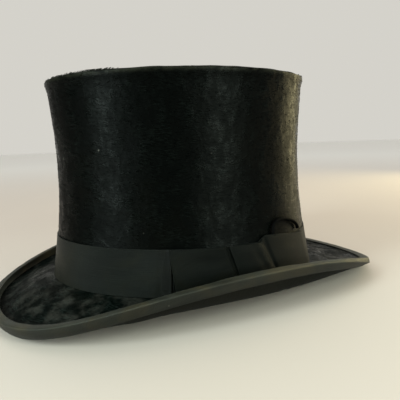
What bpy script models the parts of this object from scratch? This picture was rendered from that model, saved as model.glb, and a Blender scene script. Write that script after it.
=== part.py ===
"""A silk top hat standing on its brim, front towards -Y, wearer's left towards +X. Metres, +Z up.

The crown is a stiffened shell with a board for its tip, covered in plush and lined. The brim is a curled board
between plush and cloth, with a ribbon bound over its edge. A leather band sits inside, a ribbon band with a flat
bow outside. Pieces are lofted from sections in the crown's own frame, and one empty then sets the hat on z = 0.
"""

import math

import bmesh
import bpy
from mathutils import Vector

CLEARANCE = 0.0003  # between any two pieces that touch

# The crown, measured outside its plush. Its base is a slightly egg-shaped oval.
HALF_WIDTH = 0.0874
HALF_LENGTH = 0.1024
EGG = 0.015  # how much wider the oval is behind than in front
CROWN_HEIGHT = 0.1354  # from the seat at the front to the tip
WAIST_INSET = 0.0080
WAIST_AT = 0.45  # share of the height where the waist is
TOP_INSET = 0.0042
CORNER_RADIUS = 0.0035  # round edge between side and tip

# The seat is the line where the crown meets the top of the brim.
SEAT_FRONT = 0.0186
SEAT_DIP_AT_SIDES = 0.0010
SEAT_FALL_TO_REAR = 0.0060

# Layers of the crown wall, from the outside in.
PLUSH = 0.0012
SHELL = 0.0018
COLLAR = 0.0008
LINING = 0.0005
LEATHER = 0.0012
TIP_BOARD = 0.0018
COLLAR_HEIGHT = 0.018
SWEATBAND_HEIGHT = 0.048
BEAD_RADIUS = 0.0008

# The brim's outline is a squarish oval, given by how far it reaches past the crown in plan.
SIDE_OVERHANG = 0.0143
FRONT_OVERHANG = 0.0406
REAR_OVERHANG = 0.0545
BRIM_SHIFT = -0.0004  # the brim is widest this far behind the crown's middle
BRIM_SQUARENESS = 2.60

# The brim's cross-section is a curve from the seat to the edge with two handles. Each value is given at the side,
# the front and the rear, and is mixed in between.
EDGE_HEIGHT = (0.0297, 0.0078, 0.0027)
FIRST_HANDLE_RISE = (0.0, -0.0036, -0.0076)
FIRST_HANDLE_SHARE = 0.61
SECOND_HANDLE_BACK = (0.0022, 0.0005, 0.0165)
SECOND_HANDLE_HEIGHT = (0.0126, -0.0082, 0.0017)
SIDE_SHARPNESS = 3.84  # how fast the raised side turns into the front and the rear

# Layers of the brim.
BOARD = 0.0016
BRIM_PLUSH = 0.0007
UNDERCLOTH = 0.0005
RIBBON = 0.0005
BINDING_WIDTH = 0.0056  # what the folded ribbon covers on each side of the edge
EDGE_ROOM = 0.0007  # between the board's end and the ribbon that turns round it

# The ribbon band and its flat bow on the wearer's left. Bow angles are in degrees from +X towards +Y,
# at the band's lower and upper edge.
BAND_HEIGHT = 0.0290
BAND = 0.0006
FRONT_LOOP_FROM = (-26.0, -28.5)
FRONT_LOOP_TO = (5.5, 0.5)
REAR_LOOP_FROM = (7.5, 2.5)
REAR_LOOP_TO = (40.0, 37.0)
KNOT_FROM = (-1.5, -6.0)
KNOT_TO = (16.0, 9.0)
LOOP_PINCH = 0.0009  # thickness of a loop under the knot
LOOP_FULL = 0.0024
KNOT = 0.0008

# A small loop of round cord stands up from behind the band, next to the bow.
CORD_RADIUS = 0.0011
CORD_LOOP_HEIGHT = 0.0130
CORD_LOOP_FROM = 12.5
CORD_LOOP_TO = 38.0

# The tie on the inside of the leather band, at the rear.
TIE_WIDTH = 0.034
TIE_HEIGHT = 0.010
TIE_THICKNESS = 0.0014
TIE_MIDDLE = 0.030  # its height above the seat

ROUND_STEPS = 44
WALL_STEPS = 5
BRIM_STEPS = 5
CURL_STEPS = 3

BRIM_TOP = 0.0  # heights of the brim's layers below the seat's surface
BOARD_TOP = BRIM_TOP - BRIM_PLUSH - CLEARANCE
BOARD_MIDDLE = BOARD_TOP - BOARD / 2
WALL_FOOT = BOARD_TOP + CLEARANCE

SHELL_OUT = -PLUSH - CLEARANCE
SHELL_IN = SHELL_OUT - SHELL
COLLAR_OUT = SHELL_IN - CLEARANCE
COLLAR_IN = COLLAR_OUT - COLLAR
LINING_OUT = COLLAR_IN - CLEARANCE
LINING_IN = LINING_OUT - LINING
LEATHER_OUT = LINING_IN - CLEARANCE
LEATHER_IN = LEATHER_OUT - LEATHER
BAND_IN = CLEARANCE
BAND_OUT = BAND_IN + BAND

BRIM_HALF_WIDTH = HALF_WIDTH + SIDE_OVERHANG
BRIM_FRONT = HALF_LENGTH + FRONT_OVERHANG + BRIM_SHIFT
BRIM_REAR = HALF_LENGTH + REAR_OVERHANG - BRIM_SHIFT

FULL_TURN = [2 * math.pi * step / ROUND_STEPS for step in range(ROUND_STEPS)]


def oval(angle, out):
    """Point of the crown's base oval, moved outwards."""
    x = (HALF_WIDTH + out) * math.cos(angle) * (1 + EGG * math.sin(angle))
    return x, (HALF_LENGTH + out) * math.sin(angle)


def seat(angle):
    """Height of the brim's top surface where the crown stands on it."""
    fall = SEAT_FALL_TO_REAR * (1 + math.sin(angle)) / 2
    return SEAT_FRONT - fall - SEAT_DIP_AT_SIDES * math.cos(angle) ** 2


def crown_top():
    return SEAT_FRONT + CROWN_HEIGHT


def inset(share):
    """How far the crown's outer face lies inside its base at a share of its height."""
    share = max(share, 0.0)
    waist = share * (share - 1) / (WAIST_AT * (WAIST_AT - 1))
    top = share * (share - WAIST_AT) / (1 - WAIST_AT)
    return WAIST_INSET * waist + TOP_INSET * top


def wall(angle, height, out=0.0):
    """Point of the crown's wall at a height above the seat."""
    share = height / (crown_top() - seat(angle))
    x, y = oval(angle, out - inset(share))
    return Vector((x, y, seat(angle) + height))


def level(angle, below_top, out=0.0):
    """Point of the crown's wall at a depth below the tip's outer face."""
    return wall(angle, crown_top() - below_top - seat(angle), out)


def spread(first, last, steps):
    return [first + (last - first) * step / steps for step in range(steps + 1)]


def mixed(values, side, is_front):
    """A value given at side, front and rear, mixed by how much of a side this angle is."""
    end = values[1] if is_front else values[2]
    return end + (values[0] - end) * side


def brim_reach(angle):
    """Start of the brim at the crown's outer face, its outward direction and its length in plan."""
    x, y = oval(angle, 0.0)
    out = Vector((math.cos(angle) / HALF_WIDTH, math.sin(angle) / HALF_LENGTH, 0)).normalized()
    near, far = 0.0, BRIM_REAR
    for _ in range(30):
        middle = (near + far) / 2
        px = abs(x + out.x * middle) / BRIM_HALF_WIDTH
        py = y + out.y * middle - BRIM_SHIFT
        py = abs(py) / (BRIM_FRONT if py < 0 else BRIM_REAR)
        if px**BRIM_SQUARENESS + py**BRIM_SQUARENESS > 1:
            far = middle
        else:
            near = middle
    return Vector((x, y, 0)), out, near


def brim_curve(angle, steps=40):
    """The board's middle line at an angle: (distance from the crown, height) pairs from seat to edge."""
    start, out, reach = brim_reach(angle)
    side = (abs(start.x + out.x * reach) / BRIM_HALF_WIDTH) ** SIDE_SHARPNESS
    is_front = out.y < 0
    foot = seat(angle) + BOARD_MIDDLE
    handles = (
        (0.0, foot),
        (FIRST_HANDLE_SHARE * reach, foot + mixed(FIRST_HANDLE_RISE, side, is_front)),
        (reach - mixed(SECOND_HANDLE_BACK, side, is_front), mixed(SECOND_HANDLE_HEIGHT, side, is_front)),
        (reach, mixed(EDGE_HEIGHT, side, is_front) - EDGE_ROOM - RIBBON),
    )
    line = []
    for t in spread(0.0, 1.0, steps):
        weights = ((1 - t) ** 3, 3 * t * (1 - t) ** 2, 3 * t**2 * (1 - t), t**3)
        line.append(Vector([sum(w * h[axis] for w, h in zip(weights, handles)) for axis in (0, 1)]))
    return line


def brim_stations(angle):
    """Points and normals along the brim at an angle: even steps to the binding, then even steps over the curl.
    Each is (distance, height, normal's distance part, normal's height part)."""
    line = brim_curve(angle)
    lengths = [0.0]
    for a, b in zip(line, line[1:]):
        lengths.append(lengths[-1] + (b - a).length)
    total = lengths[-1]
    bound = total - BINDING_WIDTH
    stations = []
    for along in spread(0.0, bound, BRIM_STEPS) + spread(bound, total, CURL_STEPS)[1:]:
        i = max(k for k in range(len(line) - 1) if lengths[k] <= along + 1e-9)
        part = (along - lengths[i]) / (lengths[i + 1] - lengths[i])
        place = line[i].lerp(line[i + 1], part)
        before, after = line[max(i - 1, 0)], line[min(i + 2, len(line) - 1)]
        run = (after - before).normalized()
        stations.append((place.x, place.y, -run.y, run.x))
    return stations


def brim_points(angle, lift, first=0, reach_in=None, beyond=0.0):
    """One face of a brim layer at an angle, lifted off the board's middle line. It may reach in under the crown,
    and beyond the board's end."""
    start, out, _ = brim_reach(angle)
    stations = brim_stations(angle)[first:]
    flat = [(d + nd * lift, h + nh * lift) for d, h, nd, nh in stations]
    if reach_in is not None:
        flat.insert(0, (reach_in, seat(angle) + BOARD_MIDDLE + lift))
    if beyond:
        _, _, nd, nh = stations[-1]
        d, h = flat[-1]
        flat.append((d + nh * beyond, h - nd * beyond))
    return [start + out * d + Vector((0, 0, h)) for d, h in flat]


def material(name, colour, roughness, metallic=0.0):
    made = bpy.data.materials.new(name)
    made.use_nodes = True
    shader = made.node_tree.nodes["Principled BSDF"]
    shader.inputs["Base Color"].default_value = (*colour, 1.0)
    shader.inputs["Roughness"].default_value = roughness
    shader.inputs["Metallic"].default_value = metallic
    return made


def loft(name, sections, colour, roughness, closed=True):
    """A closed skin through sections of equally many points, each a closed loop. The last section joins the first,
    or both ends get a cap. Every square is split from its corner nearer the axis, so that layers stay nested."""
    mesh = bpy.data.meshes.new(name)
    made = bmesh.new()
    rows = [[made.verts.new(point) for point in section] for section in sections]
    pairs = list(zip(rows, rows[1:]))
    if closed:
        pairs.append((rows[-1], rows[0]))
    else:
        made.faces.new(rows[0])
        made.faces.new(rows[-1])
    for row, following in pairs:
        for i in range(len(row)):
            k = (i + 1) % len(row)
            corners = [row[i], row[k], following[k], following[i]]
            if row[i].co.xy.length > row[k].co.xy.length:
                corners.append(corners.pop(0))
            made.faces.new(corners[:3])
            made.faces.new((corners[0], *corners[2:]))
    bmesh.ops.recalc_face_normals(made, faces=made.faces[:])
    made.to_mesh(mesh)
    made.free()
    mesh.shade_smooth()
    mesh.set_sharp_from_angle(angle=math.radians(40))
    mesh.materials.append(material(name, colour, roughness))
    piece = bpy.data.objects.new(name, mesh)
    bpy.context.scene.collection.objects.link(piece)
    return piece


def wall_ring(name, out, inside, bottom, top, steps, colour, roughness):
    """A band of the crown's wall between two heights above the seat, bottom and top given as functions of angle."""
    sections = []
    for angle in FULL_TURN:
        heights = spread(bottom(angle), top(angle), steps)
        outer = [wall(angle, height, out) for height in heights]
        inner = [wall(angle, height, inside) for height in reversed(heights)]
        sections.append(outer + inner)
    return loft(name, sections, colour, roughness)


def tip_disc(name, top_depth, thickness, out, colour, roughness):
    """An oval plate lying under the tip's outer face."""
    depths = (top_depth + thickness, top_depth)
    sections = [[level(angle, depth, out) for angle in FULL_TURN] for depth in depths]
    return loft(name, sections, colour, roughness, closed=False)


def corner_point(angle, turn, inward):
    """Point on the round edge of the crown: turn 0 is on the side, 90 degrees on the tip."""
    x, y = oval(angle, -inset(1.0) - CORNER_RADIUS + (CORNER_RADIUS - inward) * math.cos(turn))
    return Vector((x, y, crown_top() - CORNER_RADIUS + (CORNER_RADIUS - inward) * math.sin(turn)))


def height_of_depth(depth):
    return lambda angle: crown_top() - depth - seat(angle)


def above_seat(height):
    return lambda angle: height


def build_crown():
    half_corner = math.radians(45)
    seam = CLEARANCE / 2 / CORNER_RADIUS
    sections = []
    for angle in FULL_TURN:
        heights = spread(WALL_FOOT, height_of_depth(CORNER_RADIUS)(angle), WALL_STEPS)
        turn = half_corner - seam
        outer = [wall(angle, height) for height in heights]
        inner = [wall(angle, height, -PLUSH) for height in reversed(heights)]
        sections.append(outer + [corner_point(angle, turn, 0.0), corner_point(angle, turn, PLUSH)] + inner)
    loft("crown_side_plush", sections, (0.012, 0.012, 0.013), 0.55)

    turns = spread(half_corner + seam, math.pi / 2, 2)
    faces = [(turn, PLUSH) for turn in reversed(turns)] + [(turn, 0.0) for turn in turns]
    rings = [[corner_point(angle, turn, inward) for angle in FULL_TURN] for turn, inward in faces]
    loft("crown_tip_plush", rings, (0.012, 0.012, 0.013), 0.5, closed=False)

    board_depth = PLUSH + CLEARANCE
    shell_depth = board_depth + TIP_BOARD + CLEARANCE
    board_out = SHELL_OUT - CORNER_RADIUS
    tip_disc("crown_tip_board", board_depth, TIP_BOARD, board_out, (0.42, 0.30, 0.16), 0.7)
    lining_out = SHELL_IN - CLEARANCE - LINING
    tip_disc("tip_lining", shell_depth, LINING, lining_out, (0.66, 0.58, 0.44), 0.45)
    wall_ring(
        "crown_side_shell", SHELL_OUT, SHELL_IN,
        above_seat(WALL_FOOT), height_of_depth(shell_depth), WALL_STEPS, (0.42, 0.30, 0.16), 0.7,
    )
    wall_ring(
        "side_lining", LINING_OUT, LINING_IN,
        above_seat(BRIM_TOP), height_of_depth(shell_depth + LINING + CLEARANCE), WALL_STEPS,
        (0.66, 0.58, 0.44), 0.45,
    )
    wall_ring(
        "brim_collar", COLLAR_OUT, COLLAR_IN,
        above_seat(WALL_FOOT), above_seat(COLLAR_HEIGHT), 1, (0.42, 0.30, 0.16), 0.7,
    )


def build_brim():
    reach_in = COLLAR_IN
    plush_start = CLEARANCE
    board, plush, cloth, binding = [], [], [], []
    board_half = BOARD / 2
    plush_low = board_half + CLEARANCE
    plush_high = plush_low + BRIM_PLUSH
    cloth_high = -board_half - CLEARANCE
    cloth_low = cloth_high - UNDERCLOTH
    for angle in FULL_TURN:
        top = brim_points(angle, board_half, reach_in=reach_in)
        bottom = brim_points(angle, -board_half, reach_in=reach_in)
        board.append(top + bottom[::-1])
        top = brim_points(angle, plush_high, first=1, reach_in=plush_start)
        bottom = brim_points(angle, plush_low, first=1, reach_in=plush_start)
        plush.append(top + bottom[::-1])
        top = brim_points(angle, cloth_high, reach_in=reach_in)
        bottom = brim_points(angle, cloth_low, reach_in=reach_in)
        cloth.append(top + bottom[::-1])
        high, low = plush_high + CLEARANCE, cloth_low - CLEARANCE
        inner_top = brim_points(angle, high, first=BRIM_STEPS, beyond=EDGE_ROOM)
        inner_bottom = brim_points(angle, low, first=BRIM_STEPS, beyond=EDGE_ROOM)
        outer_top = brim_points(angle, high + RIBBON, first=BRIM_STEPS, beyond=EDGE_ROOM + RIBBON)
        outer_bottom = brim_points(angle, low - RIBBON, first=BRIM_STEPS, beyond=EDGE_ROOM + RIBBON)
        binding.append(outer_top + outer_bottom[::-1] + inner_bottom + inner_top[::-1])
    loft("brim_board", board, (0.42, 0.30, 0.16), 0.7)
    loft("brim_top_plush", plush, (0.014, 0.014, 0.014), 0.6)
    loft("underbrim_cloth", cloth, (0.020, 0.021, 0.020), 0.75)
    loft("brim_binding", binding, (0.035, 0.037, 0.034), 0.65)


def build_band():
    wall_ring(
        "hat_band", BAND_OUT, BAND_IN,
        above_seat(CLEARANCE), above_seat(BAND_HEIGHT), 2, (0.030, 0.032, 0.030), 0.7,
    )
    loop_in = BAND_OUT + CLEARANCE
    bow_piece("bow_front_loop", FRONT_LOOP_FROM, FRONT_LOOP_TO, loop_in, loop_thickness(reverse=False))
    bow_piece("bow_rear_loop", REAR_LOOP_FROM, REAR_LOOP_TO, loop_in, loop_thickness(reverse=True))
    knot_in = loop_in + LOOP_PINCH + CLEARANCE
    bow_piece("bow_knot", KNOT_FROM, KNOT_TO, knot_in, lambda share: KNOT)


def loop_thickness(reverse):
    """A loop is full over its outer part, and pinched flat where the knot crosses it."""
    pinched = 0.45

    def thickness(share):
        from_knot = share if reverse else 1 - share
        rise = min(max((from_knot - pinched) / (1 - pinched), 0.0), 1.0)
        return LOOP_PINCH + (LOOP_FULL - LOOP_PINCH) * math.sin(rise * math.pi / 2)

    return thickness


def bow_piece(name, first, last, inside, thickness, steps=8, rows=4):
    """A slab that lies round the band between two slanting ends, as thick as thickness(share of its length)."""
    sections = []
    for share in spread(0.0, 1.0, steps):
        outer, inner = [], []
        for row in spread(0.0, 1.0, rows):
            start = first[0] + (first[1] - first[0]) * row
            end = last[0] + (last[1] - last[0]) * row
            angle = math.radians(start + (end - start) * share)
            height = CLEARANCE + (BAND_HEIGHT - CLEARANCE) * row
            outer.append(wall(angle, height, inside + thickness(share)))
            inner.append(wall(angle, height, inside))
        sections.append(outer + inner[::-1])
    return loft(name, sections, (0.030, 0.032, 0.030), 0.7, closed=False)


def build_cord_loop():
    """A cord that comes up from the band's top edge, rounds over against the plush and goes down again."""
    curve = bpy.data.curves.new("guard_cord_loop", "CURVE")
    curve.dimensions = "3D"
    curve.bevel_depth = CORD_RADIUS
    curve.bevel_resolution = 2
    curve.use_fill_caps = True
    steps = 14
    line = curve.splines.new("POLY")
    line.points.add(steps)
    lean = 0.12  # the loop's crest leans a little to the front
    for point, share in zip(line.points, spread(0.0, 1.0, steps)):
        across = (1 - math.cos(math.pi * share)) / 2 - lean * math.sin(math.pi * share) / 2
        angle = math.radians(CORD_LOOP_FROM + (CORD_LOOP_TO - CORD_LOOP_FROM) * across)
        height = BAND_HEIGHT + CLEARANCE + CORD_LOOP_HEIGHT * math.sin(math.pi * share)
        point.co = (*wall(angle, height, CORD_RADIUS + CLEARANCE), 1.0)
    curve.materials.append(material("guard_cord_loop", (0.008, 0.008, 0.008), 0.6))
    piece = bpy.data.objects.new("guard_cord_loop", curve)
    bpy.context.scene.collection.objects.link(piece)


def build_sweatband():
    foot = BOARD_TOP - BOARD - CLEARANCE - UNDERCLOTH
    wall_ring(
        "sweatband", LEATHER_OUT, LEATHER_IN,
        above_seat(foot), above_seat(SWEATBAND_HEIGHT), 4, (0.36, 0.20, 0.10), 0.5,
    )
    middle = (LEATHER_OUT + LEATHER_IN) / 2
    sections = []
    for angle in FULL_TURN:
        centre = wall(angle, foot - CLEARANCE - BEAD_RADIUS, middle)
        outwards = Vector((centre.x, centre.y, 0)).normalized()
        ring = []
        for turn in spread(0.0, 2 * math.pi, 6)[:-1]:
            ring.append(centre + BEAD_RADIUS * (outwards * math.cos(turn) + Vector((0, 0, math.sin(turn)))))
        sections.append(ring)
    loft("sweatband_bead", sections, (0.05, 0.04, 0.03), 0.5)

    sections = []
    rear = math.radians(90)
    half_turn = TIE_WIDTH / 2 / HALF_WIDTH  # near the rear the oval's x follows its half width
    for share in spread(-1.0, 1.0, 8):
        angle = rear - half_turn * share
        half_height = TIE_HEIGHT / 2 * (0.35 + 0.65 * math.sin(min(abs(share) * 1.6, 1.0) * math.pi / 2))
        inner_face = LEATHER_IN - CLEARANCE - TIE_THICKNESS
        corners = (
            (TIE_MIDDLE - half_height, LEATHER_IN - CLEARANCE),
            (TIE_MIDDLE + half_height, LEATHER_IN - CLEARANCE),
            (TIE_MIDDLE + half_height, inner_face),
            (TIE_MIDDLE - half_height, inner_face),
        )
        sections.append([wall(angle, height, out) for height, out in corners])
    loft("sweatband_tie", sections, (0.03, 0.03, 0.03), 0.6, closed=False)


def set_on_ground():
    """Parents every piece to an empty that puts the hat's lowest point at z = 0 and its middle over the origin."""
    pieces = [piece for piece in bpy.data.objects if piece.type == "MESH"]
    points = [vertex.co for piece in pieces for vertex in piece.data.vertices]
    lows = [min(point[axis] for point in points) for axis in range(3)]
    highs = [max(point[axis] for point in points) for axis in range(3)]
    hat = bpy.data.objects.new("hat", None)
    bpy.context.scene.collection.objects.link(hat)
    hat.location = (-(lows[0] + highs[0]) / 2, -(lows[1] + highs[1]) / 2, -lows[2])
    for piece in bpy.data.objects:
        if piece is not hat:
            piece.parent = hat


def main():
    for old in list(bpy.data.objects):
        bpy.data.objects.remove(old)
    build_crown()
    build_brim()
    build_band()
    build_cord_loop()
    build_sweatband()
    set_on_ground()


main()
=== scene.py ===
import math
import random

import bmesh
import bpy
from mathutils import Matrix, Vector, noise
from mathutils.bvhtree import BVHTree


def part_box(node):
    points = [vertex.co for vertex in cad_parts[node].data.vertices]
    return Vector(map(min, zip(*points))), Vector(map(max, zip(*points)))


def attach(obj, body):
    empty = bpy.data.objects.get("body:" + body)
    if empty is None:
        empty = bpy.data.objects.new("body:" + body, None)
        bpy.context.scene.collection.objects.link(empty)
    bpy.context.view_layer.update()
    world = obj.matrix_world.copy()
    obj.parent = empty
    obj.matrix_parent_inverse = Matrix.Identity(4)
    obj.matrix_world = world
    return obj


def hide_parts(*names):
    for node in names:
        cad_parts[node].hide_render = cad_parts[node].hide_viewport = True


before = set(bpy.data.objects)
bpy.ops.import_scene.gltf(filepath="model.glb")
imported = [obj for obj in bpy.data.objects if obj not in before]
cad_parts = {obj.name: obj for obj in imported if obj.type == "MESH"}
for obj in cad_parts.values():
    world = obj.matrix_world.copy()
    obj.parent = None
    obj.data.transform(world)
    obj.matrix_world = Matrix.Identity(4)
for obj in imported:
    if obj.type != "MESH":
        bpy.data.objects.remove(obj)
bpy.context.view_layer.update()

# A silk top hat on its brim, front towards -Y, bow towards +X. Metres, angles in degrees from +X towards +Y.

body = "root"
print("frame loaded:", len(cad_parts), "nodes")


def pickOnly(piece):
    bpy.ops.object.select_all(action="DESELECT")
    piece.select_set(True)
    bpy.context.view_layer.objects.active = piece


def pieceOf(mesh):  # a new object with this mesh and its name
    piece = bpy.data.objects.new(mesh.name, mesh)
    bpy.context.scene.collection.objects.link(piece)
    return piece


def applyModifiers(piece):
    pickOnly(piece)
    for modifier in list(piece.modifiers):
        bpy.ops.object.modifier_apply(modifier=modifier.name)


def shadeSmooth(piece, corner=40):
    pickOnly(piece)
    bpy.ops.object.shade_smooth_by_angle(angle=math.radians(corner))


def finishPiece(piece, material, slot, *nodes):
    piece.data.materials.clear()
    piece.data.materials.append(material)
    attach(piece, body)
    if nodes:
        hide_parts(*nodes)
    return piece


def copyOfNode(node, name):  # the frame's node as a new object, its loose triangles merged back into squares
    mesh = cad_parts[node].data.copy()
    mesh.name = name
    mesh.materials.clear()
    piece = pieceOf(mesh)
    pickOnly(piece)
    bpy.ops.object.mode_set(mode="EDIT")
    bpy.ops.mesh.select_all(action="SELECT")
    bpy.ops.mesh.remove_doubles(threshold=1e-5)
    bpy.ops.mesh.tris_convert_to_quads(face_threshold=math.radians(60), shape_threshold=math.radians(180))
    bpy.ops.object.mode_set(mode="OBJECT")
    if mesh.has_custom_normals:
        bpy.ops.mesh.customdata_custom_splitnormals_clear()
    return piece


def roundOff(piece, levels, corner=40, stayRound=lambda middle: False):
    # subdivides, keeping the real corners crisp
    work = bmesh.new()
    work.from_mesh(piece.data)
    crease = work.edges.layers.float.get("crease_edge") or work.edges.layers.float.new("crease_edge")
    for edge in work.edges:
        if len(edge.link_faces) == 2 and edge.calc_face_angle(0) > math.radians(corner):
            middle = (edge.verts[0].co + edge.verts[1].co) / 2
            if not stayRound(middle):
                edge[crease] = 1.0
    work.to_mesh(piece.data)
    work.free()
    subdivide = piece.modifiers.new("round", "SUBSURF")
    subdivide.levels = levels
    subdivide.render_levels = levels
    applyModifiers(piece)
    return piece


def roughen(piece, height, size, seed=0.0):  # soft unevenness along the normals
    shift = Vector((seed, seed * 1.7, seed * 0.6))
    moves = []
    for vertex in piece.data.vertices:
        lump = noise.noise(vertex.co / size + shift) + 0.5 * noise.noise(vertex.co / size * 2.3 + shift)
        moves.append(vertex.normal * height * lump)
    for vertex, move in zip(piece.data.vertices, moves):
        vertex.co += move


def sheetPiece(name, columns, thickness, closed=False):
    # columns run round the hat and each goes up; UVs are in metres
    rows = len(columns[0])
    points = [point for column in columns for point in column]
    middle = rows // 2
    along = [0.0]
    for column, following in zip(columns, columns[1:] + columns[:1]):
        along.append(along[-1] + (following[middle] - column[middle]).length)
    up = [0.0]
    for point, following in zip(columns[0], columns[0][1:]):
        up.append(up[-1] + (following - point).length)
    faces, places = [], []
    for i in range(len(columns) - (0 if closed else 1)):
        k = (i + 1) % len(columns)
        for row in range(rows - 1):
            faces.append((i * rows + row, k * rows + row, k * rows + row + 1, i * rows + row + 1))
            places += [(along[i], up[row]), (along[i + 1], up[row])]
            places += [(along[i + 1], up[row + 1]), (along[i], up[row + 1])]
    mesh = bpy.data.meshes.new(name)
    mesh.from_pydata(points, [], faces)
    layer = mesh.uv_layers.new(name="cloth")
    for corner, place in zip(layer.data, places):
        corner.uv = place
    piece = pieceOf(mesh)
    solid = piece.modifiers.new("thickness", "SOLIDIFY")
    solid.thickness = thickness
    solid.offset = 0.0
    applyModifiers(piece)
    shadeSmooth(piece, 50)
    return piece


def scatterPiece(name, points, faces):  # many small closed shapes as one piece, their faces turned outwards
    mesh = bpy.data.meshes.new(name)
    mesh.from_pydata(points, [], faces)
    piece = pieceOf(mesh)
    pickOnly(piece)
    bpy.ops.object.mode_set(mode="EDIT")
    bpy.ops.mesh.select_all(action="SELECT")
    bpy.ops.mesh.normals_make_consistent(inside=False)
    bpy.ops.object.mode_set(mode="OBJECT")
    return piece


def treeOf(piece):
    work = bmesh.new()
    work.from_mesh(piece.data)
    tree = BVHTree.FromBMesh(work)
    work.free()
    return tree


def alongCloth(direction, normal):  # the direction, laid flat on the cloth
    return (direction - normal * direction.dot(normal)).normalized()


def step(value, low, high):  # 0 below low, 1 above high, smooth in between
    share = min(max((value - low) / (high - low), 0.0), 1.0)
    return share * share * (3 - 2 * share)


def bump(value, middle, width):
    return math.exp(-(((value - middle) / width) ** 2))


camera = {"round": 62.32, "above": 8.06, "distance": 0.34558, "roll": -2.31,
          "lens": 38.97, "right": 0.01271, "below": 0.09003}  # below the top of the crown's side

sideLow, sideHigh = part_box("crown_side_plush")
crownMiddle = (sideLow + sideHigh) / 2
halfWide = (sideHigh.x - sideLow.x) / 2
halfLong = (sideHigh.y - sideLow.y) / 2


def axisAt(height):  # point on the crown's upright axis
    return Vector((crownMiddle.x, crownMiddle.y, height))


def ovalTowards(turn):  # flat direction from the axis to a point of the crown's oval
    return Vector((halfWide * math.cos(turn), halfLong * math.sin(turn), 0)).normalized()


def placeCamera(values):
    turn = math.radians(values["round"])
    lift = math.radians(values["above"])
    roll = math.radians(values["roll"])
    back = Vector((math.sin(turn) * math.cos(lift), -math.cos(turn) * math.cos(lift), math.sin(lift)))
    right = Vector((math.cos(turn), math.sin(turn), 0.0))
    up = back.cross(right)
    target = axisAt(sideHigh.z - values["below"]) + right * values["right"]
    across = right * math.cos(roll) + up * math.sin(roll)
    upright = up * math.cos(roll) - right * math.sin(roll)
    turned = Matrix((across, upright, back)).transposed().to_4x4()
    made = bpy.data.objects.new("camera", bpy.data.cameras.new("camera"))
    made.data.lens = values["lens"]
    made.data.sensor_width = 36.0
    made.data.clip_start = 0.01
    made.matrix_world = Matrix.Translation(target + back * values["distance"]) @ turned
    bpy.context.scene.collection.objects.link(made)
    bpy.context.scene.camera = made


placeCamera(camera)
print("camera placed")


def formOfCrown():
    form = roundOff(copyOfNode("crown_side_plush", "crown_form"), 2)
    tree = treeOf(form)
    bpy.data.objects.remove(form)
    return tree


def sectionAt(point):  # number of the frame's section that the point lies in
    place = point - crownMiddle
    turn = math.atan2(place.y / halfLong, place.x / halfWide)
    return round(turn / (2 * math.pi) * roundSteps) % roundSteps


def bandFeet():  # height of the band's lower edge, by section
    lowest = {}
    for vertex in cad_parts["hat_band"].data.vertices:
        key = sectionAt(vertex.co)
        lowest[key] = min(lowest.get(key, 1.0), vertex.co.z)
    return [lowest[key] for key in range(roundSteps)]


roundSteps = 44  # sections of the frame's crown
wellOutside = 0.2  # further from the axis than any piece
upwards = Vector((0, 0, 1))
crownTree = formOfCrown()
feet = bandFeet()
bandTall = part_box("hat_band")[1].z - max(feet)


def footAt(degrees):
    place = (degrees % 360) / 360 * roundSteps
    first = int(place) % roundSteps
    share = place - int(place)
    return feet[first] * (1 - share) + feet[(first + 1) % roundSteps] * share


def outwards(degrees):
    turn = math.radians(degrees)
    return Vector((math.cos(turn) / halfWide, math.sin(turn) / halfLong, 0)).normalized()


def onCrown(degrees, height, out=0.0):  # point on the crown's plush at a height above the ground, moved out
    away = ovalTowards(math.radians(degrees))
    hit = crownTree.ray_cast(axisAt(height) + away * wellOutside, -away)[0]
    return hit + outwards(degrees) * out


def onBand(degrees, share, out):  # share 0 is the band's lower edge, 1 its upper edge
    return onCrown(degrees, footAt(degrees) + bandTall * share, out)


def addNode(tree, kind, values=None, **settings):
    made = tree.nodes.new("ShaderNode" + kind)
    for name, value in settings.items():
        setattr(made, name, value)
    for name, value in (values or {}).items():
        socket = made.inputs[name]
        if isinstance(value, bpy.types.NodeSocket):
            tree.links.new(value, socket)
        else:
            socket.default_value = value
    return made


def maths(tree, operation, *values):
    return addNode(tree, "Math", dict(enumerate(values)), operation=operation).outputs[0]


def vectorMaths(tree, operation, *values):
    made = addNode(tree, "VectorMath", dict(enumerate(values)), operation=operation)
    return made.outputs["Value" if operation in ("LENGTH", "DOT_PRODUCT") else "Vector"]


def mixed(tree, share, first, second):
    made = addNode(tree, "Mix", {0: share, 6: first, 7: second}, data_type="RGBA")
    return made.outputs[2]


def mixedValue(tree, share, first, second):
    return addNode(tree, "Mix", {0: share, 2: first, 3: second}, data_type="FLOAT").outputs[0]


def remapped(tree, value, low, high, newLow=0.0, newHigh=1.0):
    values = {0: value, 1: low, 2: high, 3: newLow, 4: newHigh}
    return addNode(tree, "MapRange", values, interpolation_type="SMOOTHSTEP").outputs[0]


def noiseAt(tree, vector, scale, detail=2.0, roughness=0.5, distortion=0.0):
    values = {"Vector": vector, "Scale": scale, "Detail": detail,
              "Roughness": roughness, "Distortion": distortion}
    return addNode(tree, "TexNoise", values).outputs[0]


def newGroup(name, inputs, outputs):
    tree = bpy.data.node_groups.new(name, "ShaderNodeTree")
    for label, kind, value in inputs:
        socket = tree.interface.new_socket(name=label, in_out="INPUT", socket_type="NodeSocket" + kind)
        if value is not None:
            socket.default_value = value
    for label, kind in outputs:
        tree.interface.new_socket(name=label, in_out="OUTPUT", socket_type="NodeSocket" + kind)
    return tree, tree.nodes.new("NodeGroupInput").outputs, tree.nodes.new("NodeGroupOutput").inputs


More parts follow.
